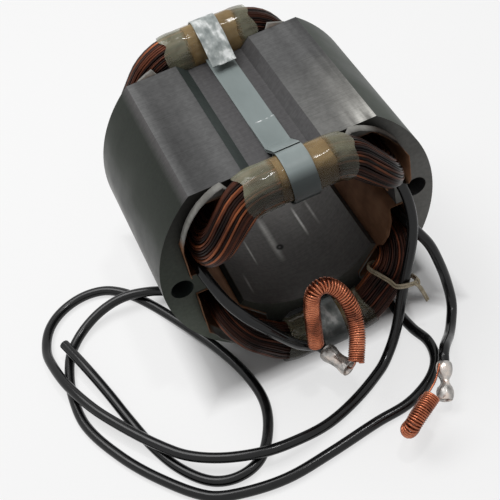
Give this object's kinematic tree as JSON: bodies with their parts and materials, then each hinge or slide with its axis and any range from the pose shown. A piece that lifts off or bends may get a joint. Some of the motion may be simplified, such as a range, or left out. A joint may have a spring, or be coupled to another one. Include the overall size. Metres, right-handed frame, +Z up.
{
  "type": "wound stator",
  "caption": "Wound stator of a universal motor: laminated steel core with bore and poles, taped copper field coils, slot liners, black leads and spring brush terminals.",
  "frame": {"origin": "on the bore axis at the middle of the laminated stack", "axes": "+X from the left to the right screw hole seen from the lead end, +Y along the bore from the lead end to the rear, +Z up through the poles"},
  "size_m": [0.1226, 0.119, 0.0767],
  "materials": {
    "steel": "satin",
    "copper": "gloss",
    "liner_paper": "matt",
    "tan_tape": "matt",
    "clear_film": "gloss",
    "grey_strap": "satin",
    "lead_rubber": "satin",
    "tin": "satin",
    "spring_copper": "gloss",
    "lacing_cord": "matt"
  },
  "bodies": {
    "root": {"core": "steel", "upper_coil": "copper", "lower_coil": "copper", "liner_upper_left": "liner_paper", "liner_upper_right": "liner_paper", "liner_lower_left": "liner_paper", "liner_lower_right": "liner_paper", "tape_upper_front": "tan_tape", "tape_upper_rear": "tan_tape", "tape_lower_front": "tan_tape", "tape_lower_rear": "tan_tape", "film_upper_front": "clear_film", "film_upper_rear": "clear_film", "film_lower_front": "clear_film", "film_lower_rear": "clear_film", "upper_strap": "grey_strap", "lower_strap": "grey_strap", "brush_lead_left": "lead_rubber", "brush_lead_right": "lead_rubber", "supply_lead_right": "lead_rubber", "supply_lead_low": "lead_rubber", "ferrule_left": "tin", "ferrule_right": "tin", "spring_left": "spring_copper", "spring_right": "spring_copper", "lacing_tie": "lacing_cord"}
  },
  "joints": []
}
